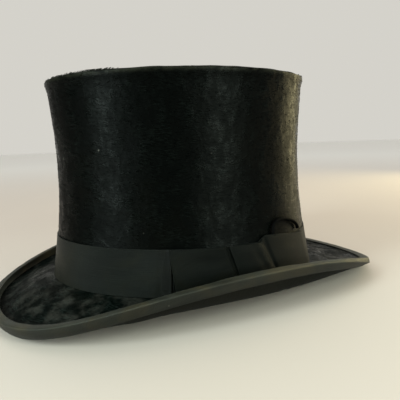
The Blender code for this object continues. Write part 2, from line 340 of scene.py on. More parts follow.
def placeGroup(tree, group, values):
    made = tree.nodes.new("ShaderNodeGroup")
    made.node_tree = group
    for name, value in values.items():
        if isinstance(value, bpy.types.NodeSocket):
            tree.links.new(value, made.inputs[name])
        else:
            made.inputs[name].default_value = value
    return made.outputs


def napGroup():
    # pile laid round the hat: fine hairs, locks of hair and larger brushed patches, with no seam at the back
    tree, given, result = newGroup(
        "laid nap",
        [("Vector", "Vector", None), ("Centre", "Vector", (0, 0, 0)), ("Lean", "Float", -1.0),
         ("Hair Length", "Float", 0.004), ("Hair Width", "Float", 0.0005), ("Swirl", "Float", 0.0015)],
        [("Hairs", "Float"), ("Locks", "Float"), ("Patches", "Float"), ("Clumps", "Float"),
         ("Height", "Float")])
    centred = vectorMaths(tree, "SUBTRACT", given["Vector"], given["Centre"])
    swirl = addNode(tree, "TexNoise", {"Vector": centred, "Scale": 70.0, "Detail": 2.0})
    off = vectorMaths(tree, "SUBTRACT", swirl.outputs["Color"], (0.5, 0.5, 0.5))
    swirled = addNode(tree, "VectorMath", {0: off, "Scale": given["Swirl"]}, operation="SCALE").outputs[0]
    placed = vectorMaths(tree, "ADD", centred, swirled)
    parts = addNode(tree, "SeparateXYZ", {0: placed}).outputs
    flat = addNode(tree, "CombineXYZ", {0: parts[0], 1: parts[1]}).outputs[0]
    radius = vectorMaths(tree, "LENGTH", flat)
    facing = vectorMaths(tree, "NORMALIZE", flat)
    turns = maths(tree, "DIVIDE", 0.094, given["Hair Length"])
    across = maths(tree, "ADD", parts[2], maths(tree, "MULTIPLY", radius, given["Lean"]))
    stacked = maths(tree, "DIVIDE", across, given["Hair Width"])
    spun = addNode(tree, "VectorMath", {0: facing, "Scale": turns}, operation="SCALE").outputs[0]
    stackedUp = addNode(tree, "CombineXYZ", {2: stacked}).outputs[0]
    hairPlace = vectorMaths(tree, "ADD", spun, stackedUp)
    hairs = noiseAt(tree, hairPlace, 1.0, 3.0, 0.6)
    lockPlace = vectorMaths(tree, "MULTIPLY", hairPlace, (0.42, 0.42, 0.16))
    locks = noiseAt(tree, lockPlace, 1.0, 4.0, 0.62)
    patches = noiseAt(tree, centred, 26.0, 3.0, 0.55, 0.4)
    brushed = vectorMaths(tree, "MULTIPLY", centred, (115.0, 115.0, 70.0))
    clumps = noiseAt(tree, brushed, 1.0, 3.0, 0.6, 0.3)
    fine = maths(tree, "MULTIPLY_ADD", hairs, 0.16, maths(tree, "MULTIPLY", locks, 0.32))
    height = maths(tree, "MULTIPLY_ADD", clumps, 0.42, fine)
    tree.links.new(hairs, result["Hairs"])
    tree.links.new(locks, result["Locks"])
    tree.links.new(patches, result["Patches"])
    tree.links.new(clumps, result["Clumps"])
    tree.links.new(height, result["Height"])
    return tree


def cordedGroup():
    # corded ribbon on its own UVs: ribs across the ribbon, warp threads along it, and soft creases
    tree, given, result = newGroup(
        "corded ribbon",
        [("Vector", "Vector", None), ("Rib", "Float", 0.0007), ("Thread", "Float", 0.00022),
         ("Crease", "Float", 0.5)],
        [("Ribs", "Float"), ("Threads", "Float"), ("Creases", "Float"), ("Height", "Float")])
    parts = addNode(tree, "SeparateXYZ", {0: given["Vector"]}).outputs
    turn = maths(tree, "MULTIPLY", maths(tree, "DIVIDE", parts[0], given["Rib"]), 2 * math.pi)
    ribs = maths(tree, "MULTIPLY_ADD", maths(tree, "SINE", turn), 0.5, 0.5)
    lying = vectorMaths(tree, "MULTIPLY", given["Vector"], (60.0, 2600.0, 1.0))
    threads = noiseAt(tree, lying, 1.0, 2.0)
    longWise = vectorMaths(tree, "MULTIPLY", given["Vector"], (26.0, 150.0, 1.0))
    creases = noiseAt(tree, longWise, 1.0, 3.0, 0.55, 0.6)
    fine = maths(tree, "ADD", maths(tree, "MULTIPLY", ribs, 0.35), maths(tree, "MULTIPLY", threads, 0.4))
    height = maths(tree, "MULTIPLY_ADD", creases, given["Crease"], fine)
    tree.links.new(ribs, result["Ribs"])
    tree.links.new(threads, result["Threads"])
    tree.links.new(creases, result["Creases"])
    tree.links.new(height, result["Height"])
    return tree


def dustGroup():
    # pale dust that settles on faces that look up, and scattered lint
    tree, given, result = newGroup(
        "dust and lint",
        [("Vector", "Vector", None), ("Dust", "Float", 0.2), ("Lint", "Float", 0.5),
         ("Lint Spacing", "Float", 0.016)],
        [("Mask", "Float")])
    facing = addNode(tree, "SeparateXYZ", {0: addNode(tree, "NewGeometry").outputs["Normal"]}).outputs[2]
    cloudy = noiseAt(tree, given["Vector"], 90.0, 4.0, 0.6)
    settled = maths(tree, "MULTIPLY", remapped(tree, facing, 0.2, 1.0), remapped(tree, cloudy, 0.4, 0.75))
    spaced = maths(tree, "DIVIDE", 1.0, given["Lint Spacing"])
    specks = addNode(tree, "TexVoronoi", {"Vector": given["Vector"], "Scale": spaced, "Randomness": 1.0})
    small = remapped(tree, specks.outputs["Distance"], 0.05, 0.022)
    keep = addNode(tree, "SeparateColor", {0: specks.outputs["Color"]}).outputs[0]
    few = maths(tree, "GREATER_THAN", keep, 0.7)
    lint = maths(tree, "MULTIPLY", maths(tree, "MULTIPLY", small, few), given["Lint"])
    total = maths(tree, "MULTIPLY_ADD", settled, given["Dust"], lint)
    tree.links.new(maths(tree, "MINIMUM", total, 1.0), result["Mask"])
    return tree


def wovenGroup():
    # a plain or twill weave in Object coordinates or UVs, with slubs
    tree, given, result = newGroup(
        "woven cloth",
        [("Vector", "Vector", None), ("Thread", "Float", 0.0004), ("Diagonal", "Float", 0.0)],
        [("Threads", "Float"), ("Slubs", "Float")])
    parts = addNode(tree, "SeparateXYZ", {0: given["Vector"]}).outputs
    rate = maths(tree, "DIVIDE", 2 * math.pi, given["Thread"])
    lean = maths(tree, "MULTIPLY", parts[1], given["Diagonal"])
    first = maths(tree, "SINE", maths(tree, "MULTIPLY", maths(tree, "ADD", parts[0], lean), rate))
    second = maths(tree, "SINE", maths(tree, "MULTIPLY", parts[1], rate))
    crossed = maths(tree, "MULTIPLY", first, second)
    twill = mixedValue(tree, given["Diagonal"], crossed, first)
    slubs = noiseAt(tree, vectorMaths(tree, "MULTIPLY", given["Vector"], (140.0, 900.0, 140.0)), 1.0, 3.0)
    tree.links.new(maths(tree, "MULTIPLY_ADD", twill, 0.5, 0.5), result["Threads"])
    tree.links.new(slubs, result["Slubs"])
    return tree


def stainGroup():
    # uneven ageing: broad stains with darker rims
    tree, given, result = newGroup(
        "age stains",
        [("Vector", "Vector", None), ("Size", "Float", 0.05)], [("Stain", "Float"), ("Rim", "Float")])
    scale = maths(tree, "DIVIDE", 1.0, given["Size"])
    cloud = noiseAt(tree, given["Vector"], scale, 4.0, 0.55, 0.8)
    stain = remapped(tree, cloud, 0.45, 0.7)
    rim = maths(tree, "MULTIPLY", remapped(tree, cloud, 0.5, 0.55), remapped(tree, cloud, 0.62, 0.56))
    tree.links.new(stain, result["Stain"])
    tree.links.new(rim, result["Rim"])
    return tree


def leatherGroup():
    tree, given, result = newGroup(
        "leather grain",
        [("Vector", "Vector", None), ("Pore", "Float", 0.0011)], [("Grain", "Float"), ("Creases", "Float")])
    scale = maths(tree, "DIVIDE", 1.0, given["Pore"])
    cells = addNode(tree, "TexVoronoi", {"Vector": given["Vector"], "Scale": scale},
                    feature="DISTANCE_TO_EDGE")
    grain = remapped(tree, cells.outputs["Distance"], 0.0, 0.22)
    creases = noiseAt(tree, given["Vector"], 120.0, 5.0, 0.6, 1.2)
    tree.links.new(grain, result["Grain"])
    tree.links.new(creases, result["Creases"])
    return tree


nap = napGroup()
corded = cordedGroup()
dusty = dustGroup()
woven = wovenGroup()
stains = stainGroup()
leathery = leatherGroup()
print("shader groups built")


def newMaterial(name, **constants):
    made = bpy.data.materials.new(name)
    made.use_nodes = True
    shader = made.node_tree.nodes["Principled BSDF"]
    for label, value in constants.items():
        shader.inputs[label.replace("_", " ")].default_value = value
    return made, made.node_tree, shader


def objectPlace(tree):
    return addNode(tree, "TexCoord").outputs["Object"]


def clothPlace(tree):
    return addNode(tree, "UVMap", uv_map="cloth").outputs[0]


def setBump(tree, shader, height, distance):
    bumped = addNode(tree, "Bump", {"Height": height, "Distance": distance, "Strength": 1.0})
    tree.links.new(bumped.outputs[0], shader.inputs["Normal"])


plush = {"black": (0.0002, 0.0005, 0.0004, 1), "hair": (0.0026, 0.0038, 0.0033, 1),
         "faded": (0.0036, 0.0034, 0.0020, 1), "dust": (0.12, 0.115, 0.10, 1),
         "rim": (0.0130, 0.0135, 0.0095, 1), "rimDeep": 0.0030, "rimFrom": (0.86, 0.92),
         "smooth": 0.14, "rough": 0.48, "bump": 0.0008, "lint": 0.6}


def tinted(colour, *tints):  # one tint for all three channels, or one for each
    tints = tints * 3 if len(tints) == 1 else tints
    return tuple(channel * tint for channel, tint in zip(colour, tints)) + (1,)


def silkPlush(name, lean, level, dust, patchy, paintedSheenGain=1.0):
    made, tree, shader = newMaterial(
        name, Specular_IOR_Level=level, Anisotropic=0.6, Anisotropic_Rotation=0.25)
    place = objectPlace(tree)
    pile = placeGroup(tree, nap, {"Vector": place, "Lean": lean,
                                  "Centre": (crownMiddle.x, crownMiddle.y, 0)})
    # painted sheen: paler streaks where the nap's hairs and brushed clumps catch light
    sheenStreaks = maths(tree, "MULTIPLY", remapped(tree, pile["Hairs"], 0.42, 0.68),
                    remapped(tree, pile["Clumps"], 0.35, 0.70))
    lit = mixed(tree, sheenStreaks, tinted(plush["black"], paintedSheenGain), tinted(plush["hair"], paintedSheenGain))
    worn = remapped(tree, pile["Patches"], 0.50, 0.72, 0.0, patchy)
    aged = mixed(tree, worn, lit, plush["faded"])
    tall = addNode(tree, "SeparateXYZ", {0: place}).outputs[2]
    reach = vectorMaths(tree, "LENGTH", vectorMaths(
        tree, "MULTIPLY", vectorMaths(tree, "SUBTRACT", place, tuple(crownMiddle)),
        (1 / halfWide, 1 / halfLong, 0.0)))
    # painted sheen: the plush is paler along the crown's top edge, where the nap rolls over
    rim = maths(tree, "MULTIPLY", remapped(tree, reach, *plush["rimFrom"]),
                remapped(tree, tall, sideHigh.z - plush["rimDeep"], sideHigh.z + 0.0004, 0.0, 0.95))
    withRimSheen = mixed(tree, maths(tree, "MULTIPLY", rim, remapped(tree, pile["Locks"], 0.3, 0.6)),
                  aged, plush["rim"])
    specks = placeGroup(tree, dusty, {"Vector": place, "Dust": dust, "Lint": plush["lint"]})["Mask"]
    tree.links.new(mixed(tree, specks, withRimSheen, plush["dust"]), shader.inputs["Base Color"])
    shiny = maths(tree, "MULTIPLY", remapped(tree, pile["Locks"], 0.30, 0.66),
                  remapped(tree, pile["Clumps"], 0.40, 0.60))
    rough = mixedValue(tree, shiny, plush["rough"], plush["smooth"])
    tree.links.new(rough, shader.inputs["Roughness"])
    setBump(tree, shader, pile["Height"], plush["bump"])
    return made


ribbon = {"rib": 0.0007, "creaseBump": 0.00025, "sheenTint": (0.86, 0.90, 0.84, 1),
          "stainSize": 0.030, "stained": 0.75, "warmer": (1.75, 1.35, 0.90), "deeper": 0.22, "ribDeep": 0.25,
          "lint": {"Dust": 0.03, "Lint": 0.3, "Lint Spacing": 0.02}, "dust": (0.2, 0.19, 0.17, 1),
          "bowShadeSide": (math.cos(-0.12), math.sin(-0.12), 0.0), "bowShadeReach": (0.83, 0.92)}


def cordedRibbon(name, dark, light, crease, roughness, level, undersideShade=0.0, bowShade=0.0):
    made, tree, shader = newMaterial(
        name, Specular_IOR_Level=level, Sheen_Weight=0.02, Sheen_Roughness=0.5,
        Sheen_Tint=ribbon["sheenTint"])
    weave = placeGroup(tree, corded, {"Vector": clothPlace(tree), "Rib": ribbon["rib"], "Crease": crease})
    place = objectPlace(tree)
    faded = placeGroup(tree, stains, {"Vector": place, "Size": ribbon["stainSize"]})
    # painted shade: darker in the hollows of the ribbon's creases, paler on their ridges
    base = mixed(tree, remapped(tree, weave["Creases"], 0.3, 0.7), dark, light)
    warm = tinted(light, *ribbon["warmer"])
    aged = mixed(tree, maths(tree, "MULTIPLY", faded["Stain"], ribbon["stained"]), base, warm)
    facing = addNode(tree, "SeparateXYZ", {0: addNode(tree, "NewGeometry").outputs["Normal"]}).outputs[2]
    undersideShadeMask = remapped(tree, facing, 0.35, -0.45, 0.0, undersideShade)  # painted shade: faces that look down are darker
    # the ribbon's darker tone, used for its painted shade and for its ribs
    deep = tinted(dark, ribbon["deeper"])
    withPaintedShade = mixed(tree, undersideShadeMask, aged, deep)
    if bowShade:  # painted shade: darker round the bow, where the band catches less light
        middle = vectorMaths(tree, "SUBTRACT", place, tuple(crownMiddle))
        towards = vectorMaths(tree, "NORMALIZE", vectorMaths(tree, "MULTIPLY", middle, (1, 1, 0)))
        beside = vectorMaths(tree, "DOT_PRODUCT", towards, ribbon["bowShadeSide"])
        withPaintedShade = mixed(tree, remapped(tree, beside, *ribbon["bowShadeReach"], 0.0, bowShade), withPaintedShade, deep)
    ribbed = mixed(tree, maths(tree, "MULTIPLY", weave["Ribs"], ribbon["ribDeep"]), withPaintedShade, deep)
    specks = placeGroup(tree, dusty, {"Vector": place, **ribbon["lint"]})
    tree.links.new(mixed(tree, specks["Mask"], ribbed, ribbon["dust"]), shader.inputs["Base Color"])
    rough = mixedValue(tree, weave["Threads"], roughness - 0.08, roughness + 0.1)
    tree.links.new(rough, shader.inputs["Roughness"])
    setBump(tree, shader, weave["Height"], ribbon["creaseBump"])
    return made


cloths = {
    "under the brim": {
        "finish": {"Specular_IOR_Level": 0.04, "Sheen_Weight": 0.01, "Sheen_Roughness": 0.6},
        "thread": 0.0008, "diagonal": 0.85, "pattern": "Threads", "stainSize": 0.06, "stained": 0.5,
        "dark": (0.0012, 0.0014, 0.0010, 1), "light": (0.0040, 0.0042, 0.0032, 1),
        "aged": (0.0075, 0.0068, 0.0048, 1), "rough": (0.65, 0.9), "relief": 0.5, "bump": 0.00022},
    "lining": {
        "finish": {"Specular_IOR_Level": 0.5, "Sheen_Weight": 0.15, "Anisotropic": 0.5},
        "thread": 0.0005, "diagonal": 0.4, "pattern": "Slubs", "stainSize": 0.055, "stained": 0.55,
        "dark": (0.50, 0.43, 0.31, 1), "light": (0.64, 0.57, 0.44, 1), "aged": (0.36, 0.25, 0.13, 1),
        "rim": (0.22, 0.14, 0.07, 1), "rimmed": 0.45, "rough": (0.28, 0.46), "relief": 0.3, "bump": 0.00015},
    "boards": {  # muslin stiffened with shellac
        "finish": {"Specular_IOR_Level": 0.5, "Coat_Weight": 0.25, "Coat_Roughness": 0.3},
        "thread": 0.0012, "diagonal": 0.0, "pattern": "Threads", "stainSize": 0.04, "stained": 0.6,
        "dark": (0.26, 0.15, 0.06, 1), "light": (0.46, 0.31, 0.15, 1), "aged": (0.17, 0.08, 0.03, 1),
        "rough": (0.35, 0.65), "relief": 0.6, "bump": 0.0003},
}


def agedCloth(name, values):  # woven cloth with the stains of its age
    made, tree, shader = newMaterial(name, **values["finish"])
    place = objectPlace(tree)
    weave = placeGroup(
        tree, woven, {"Vector": place, "Thread": values["thread"], "Diagonal": values["diagonal"]})
    stain = placeGroup(tree, stains, {"Vector": place, "Size": values["stainSize"]})
    cloth = mixed(tree, weave[values["pattern"]], values["dark"], values["light"])
    cloth = mixed(tree, maths(tree, "MULTIPLY", stain["Stain"], values["stained"]), cloth, values["aged"])
    if "rim" in values:
        cloth = mixed(tree, maths(tree, "MULTIPLY", stain["Rim"], values["rimmed"]), cloth, values["rim"])
    tree.links.new(cloth, shader.inputs["Base Color"])
    tree.links.new(mixedValue(tree, weave["Slubs"], *values["rough"]), shader.inputs["Roughness"])
    height = maths(tree, "MULTIPLY_ADD", weave["Threads"], values["relief"], weave["Slubs"])
    setBump(tree, shader, height, values["bump"])
    return made


hide = {"dark": (0.20, 0.095, 0.042, 1), "light": (0.34, 0.18, 0.085, 1), "pores": (0.10, 0.045, 0.02, 1),
        "sweat": (0.07, 0.032, 0.016, 1), "stainSize": 0.05, "stained": 0.7, "rough": (0.38, 0.6),
        "bump": 0.0003}


def tanLeather(name):
    made, tree, shader = newMaterial(name, Specular_IOR_Level=0.45)
    place = objectPlace(tree)
    skin = placeGroup(tree, leathery, {"Vector": place})
    stain = placeGroup(tree, stains, {"Vector": place, "Size": hide["stainSize"]})
    smooth = mixed(tree, skin["Creases"], hide["dark"], hide["light"])
    pored = mixed(tree, maths(tree, "MULTIPLY", maths(tree, "SUBTRACT", 1.0, skin["Grain"]), 0.5),
                  smooth, hide["pores"])
    sweated = mixed(tree, maths(tree, "MULTIPLY", stain["Stain"], hide["stained"]), pored, hide["sweat"])
    tree.links.new(sweated, shader.inputs["Base Color"])
    tree.links.new(mixedValue(tree, skin["Creases"], *hide["rough"]), shader.inputs["Roughness"])
    height = maths(tree, "MULTIPLY_ADD", skin["Grain"], 0.5, skin["Creases"])
    setBump(tree, shader, height, hide["bump"])
    return made


def twistedSilk(name, dark, light, level=0.2):  # cord and sewing thread
    made, tree, shader = newMaterial(name, Specular_IOR_Level=level)
    place = objectPlace(tree)
    weave = placeGroup(tree, woven, {"Vector": place, "Thread": 0.0004, "Diagonal": 0.5})
    tree.links.new(mixed(tree, weave["Slubs"], dark, light), shader.inputs["Base Color"])
    tree.links.new(mixedValue(tree, weave["Threads"], 0.5, 0.75), shader.inputs["Roughness"])
    setBump(tree, shader, weave["Slubs"], 0.0002)
    return made


sidePlush = silkPlush("black silk plush", lean=-1.0, level=0.031, dust=0.05, patchy=0.12)
# painted sheen: the brim's plush is painted three times paler than the crown's, standing in for its sheen
sheenPaintedBrimPlush = silkPlush("black silk plush of the brim with painted sheen", lean=1.0, level=0.011, dust=0.17, patchy=0.25,
                      paintedSheenGain=3.0)
bandSilk = cordedRibbon(
    "black corded ribbon", dark=(0.0018, 0.0027, 0.0022, 1), light=(0.0034, 0.0046, 0.0037, 1),
    crease=0.5, roughness=0.38, level=0.060, bowShade=0.8)
bindingSilk = cordedRibbon(
    "black binding ribbon", dark=(0.0090, 0.0100, 0.0074, 1), light=(0.0225, 0.0230, 0.0165, 1),
    crease=1.4, roughness=0.50, level=0.17, undersideShade=0.80)
# painted shade: the bow's ribbon is the band's ribbon in darker colours
shadedBowSilk = cordedRibbon(
    "black corded ribbon of the bow in painted shade", dark=(0.0010, 0.0016, 0.0013, 1), light=(0.0022, 0.0030, 0.0024, 1),
    crease=0.5, roughness=0.40, level=0.045)
underTwill = agedCloth("black twill under the brim", cloths["under the brim"])
satin = agedCloth("aged cream satin", cloths["lining"])
leather = tanLeather("tan sweatband leather")
shellac = agedCloth("shellac cloth", cloths["boards"])
cordSilk = twistedSilk("black silk cord", (0.0006, 0.0006, 0.0006, 1), (0.0018, 0.0018, 0.0017, 1),
                       level=0.02)
thread = twistedSilk("black sewing thread", (0.010, 0.010, 0.010, 1), (0.03, 0.03, 0.028, 1))
tanThread = twistedSilk("tan sewing thread", (0.25, 0.16, 0.08, 1), (0.42, 0.30, 0.17, 1))
print("materials built")


guardCord = {"radius": 0.0013, "from": 15.5, "to": 35.0, "tall": 0.0100, "skew": 0.68, "gap": 0.0004,
             "foot": 0.0024, "points": 17, "sides": 18, "plies": 3, "groove": 0.18, "twist": 0.0052,
             "fine": 4}


def cordRoute(values):  # a short arch, steep at the front and falling slowly to the back
    route = []
    for i in range(values["points"]):
        share = i / (values["points"] - 1)
        across = (1 - math.cos(math.pi * share)) / 2
        rise = math.sin(math.pi * share ** values["skew"])
        degrees = values["from"] + (values["to"] - values["from"]) * across
        height = footAt(degrees) + bandTall + values["foot"] + values["tall"] * rise
        route.append(onCrown(degrees, height, values["radius"] + values["gap"]))
    return route


def smoothRoute(points, fine):  # extra points on a smooth curve through the given ones
    line = []
    for i in range(len(points) - 1):
        before, first = points[max(i - 1, 0)], points[i]
        last, after = points[i + 1], points[min(i + 2, len(points) - 1)]
        for k in range(fine):
            t = k / fine
            line.append(0.5 * (2 * first + (last - before) * t
                               + (2 * before - 5 * first + 4 * last - after) * t * t
                               + (3 * first - before - 3 * last + after) * t ** 3))
    return line + [points[-1]]


def ropeTube(name, route, values):  # a tube of twisted plies along a route
    rings = []
    runSoFar = 0.0
    side = (route[1] - route[0]).cross(outwards(25)).normalized()
    for i, point in enumerate(route):
        ahead = (route[min(i + 1, len(route) - 1)] - route[max(i - 1, 0)]).normalized()
        side = (side - ahead * side.dot(ahead)).normalized()
        other = ahead.cross(side)
        if i:
            runSoFar += (point - route[i - 1]).length
        ring = []
        for k in range(values["sides"]):
            turn = 2 * math.pi * k / values["sides"]
            lobe = abs(math.cos(values["plies"] / 2 * (turn - 2 * math.pi * runSoFar / values["twist"])))
            radius = values["radius"] * (1 - values["groove"] + values["groove"] * lobe)
            ring.append(point + (side * math.cos(turn) + other * math.sin(turn)) * radius)
        rings.append(ring)
    work = bmesh.new()
    rows = [[work.verts.new(point) for point in ring] for ring in rings]
    for row, following in zip(rows, rows[1:]):
        for k in range(values["sides"]):
            n = (k + 1) % values["sides"]
            work.faces.new((row[k], row[n], following[n], following[k]))
    work.faces.new(rows[0][::-1])
    work.faces.new(rows[-1])
    bmesh.ops.recalc_face_normals(work, faces=work.faces[:])
    mesh = bpy.data.meshes.new(name)
    work.to_mesh(mesh)
    work.free()
    piece = pieceOf(mesh)
    shadeSmooth(piece, 60)
    return piece


cordPoints = smoothRoute(cordRoute(guardCord), guardCord["fine"])
cordLength = sum((b - a).length for a, b in zip(cordPoints, cordPoints[1:]))
cordPiece = ropeTube("guard_cord", cordPoints, guardCord)
finishPiece(cordPiece, cordSilk, "black_cord", "guard_cord_loop")
tuple(cordPoints[0])
[tuple(point) for point in cordPoints]
print("guard cord made, length", round(cordLength, 4))


crownCloth = {"levels": 2, "lump": 0.00034, "lumpSize": 0.017, "sideFlat": (0.136, 0.600),
              "tipFlat": (0.166, 0.204), "tipArea": 0.0266, "roll": 0.0011, "rollDeep": 0.006,
              "rollFrom": (0.86, 0.93)}


def rollRim(piece, values):  # the plush swells outwards a little where it turns over the crown's edge
    for vertex in piece.data.vertices:
        flat = vertex.co - crownMiddle
        edge = math.sqrt((flat.x / halfWide) ** 2 + (flat.y / halfLong) ** 2)
        outer = step(edge, *values["rollFrom"])
        high = step(vertex.co.z, sideHigh.z - values["rollDeep"], sideHigh.z - 0.001)
        away = Vector((flat.x, flat.y, 0)).normalized()
        vertex.co += away * (values["roll"] * outer * high)


def makeCrownPlush(values):
    side = roundOff(copyOfNode("crown_side_plush", "side_plush"), values["levels"])
    rollRim(side, values)
    roughen(side, values["lump"], values["lumpSize"], 3.0)
    shadeSmooth(side)
    finishPiece(side, sidePlush, "silk_plush", "crown_side_plush")
    tip = roundOff(copyOfNode("crown_tip_plush", "tip_plush"), values["levels"])
    rollRim(tip, values)
    roughen(tip, values["lump"], values["lumpSize"], 5.0)
    shadeSmooth(tip)
    finishPiece(tip, sidePlush, "silk_plush", "crown_tip_plush")


makeCrownPlush(crownCloth)
print("crown plush made")


brim = {"levels": 2, "lump": 0.00030, "lumpSize": 0.018, "ruffle": 0.00016, "ruffleSize": 0.007,
        "plushFlat": (0.210, 0.294), "plushArea": 0.0262, "underFlat": (0.216, 0.300), "underArea": 0.0327,
        "bindingFlat": (0.0165, 0.850), "bindingRadius": 0.120, "boardShy": 0.00015}


def unrollRound(piece, radius):  # UVs in metres: u round the hat, v out from the crown
    layer = piece.data.uv_layers.new(name="cloth")
    for face in piece.data.polygons:
        turns = []
        for index in face.vertices:
            place = piece.data.vertices[index].co - crownMiddle
            turns.append(math.atan2(place.y / halfLong, place.x / halfWide))
        for k, loop in enumerate(face.loop_indices):
            turn = turns[k]
            if turn - turns[0] > math.pi:
                turn -= 2 * math.pi
            elif turns[0] - turn > math.pi:
                turn += 2 * math.pi
            place = piece.data.vertices[face.vertices[k]].co - crownMiddle
            layer.data[loop].uv = (turn * radius, place.xy.length + place.z)


def makeBrim(values):
    top = roundOff(copyOfNode("brim_top_plush", "brim_plush"), values["levels"])
    roughen(top, values["lump"], values["lumpSize"], 7.0)
    shadeSmooth(top)
    finishPiece(top, sheenPaintedBrimPlush, "silk_plush", "brim_top_plush")
    under = roundOff(copyOfNode("underbrim_cloth", "underbrim"), values["levels"])
    shadeSmooth(under)
    finishPiece(under, underTwill, "underbrim_cloth", "underbrim_cloth")
    board = roundOff(copyOfNode("brim_board", "brim_stiffener"), values["levels"])
    for vertex in board.data.vertices:  # just clear of the cloth on both sides
        vertex.co -= vertex.normal * values["boardShy"]
    shadeSmooth(board)
    finishPiece(board, shellac, "shellac_board", "brim_board")
    edge = copyOfNode("brim_binding", "binding")
    inner = bindingInnerEdges(edge)
    roundOff(edge, values["levels"], 60, inner)
    roughen(edge, values["ruffle"], values["ruffleSize"], 9.0)
    unrollRound(edge, values["bindingRadius"])
    shadeSmooth(edge)
    finishPiece(edge, bindingSilk, "binding_ribbon", "brim_binding")


def bindingInnerEdges(edge):  # the rim itself stays round; only the ribbon's two inner edges are crisp
    reach = {}
    for vertex in edge.data.vertices:
        key = sectionAt(vertex.co)
        far = (vertex.co - crownMiddle).xy.length
        low, high = reach.get(key, (1.0, 0.0))
        reach[key] = (min(low, far), max(high, far))

    def stayRound(middle):
        low, high = reach[sectionAt(middle)]
        return (middle - crownMiddle).xy.length > (low + high) / 2

    return stayRound


makeBrim(brim)
print("brim made")


band = {"coarse": 0.6, "fine": 0.12, "rows": 14, "middle": 0.00062, "thick": 0.0005, "wave": 0.00022,
        "waveSize": 0.020, "flareSize": 0.03, "flat": (0.029, 0.600), "fineFrom": -34, "fineTo": -25,
        "pleatAt": -28.3, "pleatSoft": 4.2, "pleatTall": 0.0016, "pleatOpens": 0.45, "pleatLip": 0.30,
        "ridge": 0.75, "ridgeAt": 0.95, "ridgeWide": 0.22}


def bandFold(degrees, share, values):  # the tuck in front of the bow: nothing at the top edge, widest below
    opening = (1 - share) ** values["pleatOpens"]
    past = degrees - values["pleatAt"] - values["pleatLip"] * opening
    swell = step(past, -values["pleatSoft"] * (0.3 + 0.7 * opening), 0.0)
    soft = swell * step(-past, -values["pleatLip"], 0.0)
    ridge = values["ridge"] * bump(past, values["ridgeAt"] * opening, values["ridgeWide"])
    return values["pleatTall"] * min(opening * 1.6, 1.0) * (soft + ridge)


def makeBand(values):
    columns = []
    degrees = -180.0
    while degrees < 180 - values["fine"]:
        column = []
        for k in range(values["rows"] + 1):
            share = k / values["rows"]
            point = onBand(degrees, share, 0.0)
            wave = noise.noise(Vector((point.x, point.y, point.z * 0.5)) / values["waveSize"])
            loose = max(noise.noise(point / values["flareSize"] + Vector((5, 0, 0))), 0.0)
            flare = bump(share, 0.0, 0.2) * loose
            out = values["middle"] + values["wave"] * (wave + 1.6 * flare) + bandFold(degrees, share, values)
            column.append(point + outwards(degrees) * out)
        columns.append(column)
        atFold = values["fineFrom"] < degrees < values["fineTo"]
        degrees += values["fine"] if atFold else values["coarse"]
    piece = sheetPiece("ribbon_band", columns, values["thick"], closed=True)
    finishPiece(piece, bandSilk, "band_ribbon", "hat_band")


makeBand(band)
print("band made")


# pairs of angles are at the ribbon's lower and upper edge
bow = {"thick": 0.00042, "rows": 16, "inner": 0.00135, "full": 0.0024, "pinch": 0.0010,
       "underSteps": 16, "foldSteps": 10, "overSteps": 96, "foldReach": 0.75, "swellBy": 0.55,
       "frontEnd": (-26.2, -28.6), "frontRoot": (5.5, 0.5), "rearRoot": (7.5, 2.5), "rearEnd": (40.0, 37.2),
       "fan": 0.00030, "dent": 0.00035, "rearRise": 0.13, "riseFrom": -1.5, "riseTo": 1.0,
       "biteAt": 0.55, "biteWide": 0.75, "biteFront": 0.0013, "biteBack": 0.0005,
       "knotFront": (-1.2, -6.2), "knotBack": (16.0, 9.0), "knotSteps": 40, "knotFull": 0.0034,
       "knotTuck": 0.0013, "knotCrease": 0.00016, "knotDent": 0.00022, "knotDrop": 0.0004,
       "knotExtra": 0.0001,
       "frontFlat": (0.029, 0.110), "rearFlat": (0.029, 0.120), "knotFlat": (0.029, 0.034)}


def slanted(pair, share):
    return pair[0] + (pair[1] - pair[0]) * share


def overLoop(values, sign, seed, t, share, degrees):  # how far out the loop's upper layer stands
    full, low = values["full"] - values["pinch"], values["pinch"] * 0.45
    puff = math.sin(min(t / values["swellBy"], 1.0) * math.pi / 2)
    out = values["inner"] + low + (full - low) * puff
    spread = (share - 0.5) * (0.4 + t)
    fan = noise.noise(Vector((spread * 5 + seed, t * 1.3, seed)))
    out += values["fan"] * fan * math.sin(math.pi * min(t * 1.15, 1.0))
    out -= values["dent"] * bump(share, 0.5, 0.35) * bump(t, 0.2, 0.25)
    cross = slanted(values["knotFront" if sign < 0 else "knotBack"], share)
    bite = values["biteFront" if sign < 0 else "biteBack"]  # the crossing ribbon presses it in
    return out - bite * bump(degrees, cross + sign * values["biteAt"], values["biteWide"])


def rearRise(values, t, share, degrees):  # the rear loop stands taller just behind the crossing
    back = slanted(values["knotBack"], share)
    behind = step(degrees, back + values["riseFrom"], back + values["riseTo"])
    return 1 + values["rearRise"] * behind * (1 - step(t, 0.25, 1.0))


def loopColumns(values, end, root, sign, seed):
    # a ribbon that runs out from the knot close to the band, folds round and comes back over itself
    columns = []
    path = [("under", k / values["underSteps"]) for k in range(values["underSteps"] + 1)]
    path += [("fold", k / values["foldSteps"]) for k in range(1, values["foldSteps"])]
    path += [("over", 1 - k / values["overSteps"]) for k in range(values["overSteps"] + 1)]
    depth = (values["full"] - values["pinch"]) / 2
    for part, t in path:
        column = []
        for k in range(values["rows"] + 1):
            share = k / values["rows"]
            fold, knot = slanted(values[end], share), slanted(values[root], share)
            degrees = knot + (fold - knot) * t
            out = values["inner"]
            if part == "fold":
                turn = math.pi * (t - 0.5)
                degrees = fold - sign * values["foldReach"] * math.cos(turn)
                out = values["inner"] + depth + depth * math.sin(turn)
            elif part == "over":
                out = overLoop(values, sign, seed, t, share, degrees)
            rises = sign > 0 and part != "fold"
            rise = rearRise(values, t, share, degrees) if rises else 1.0
            column.append(onBand(degrees, share * rise, out))
        columns.append(column)
    return columns


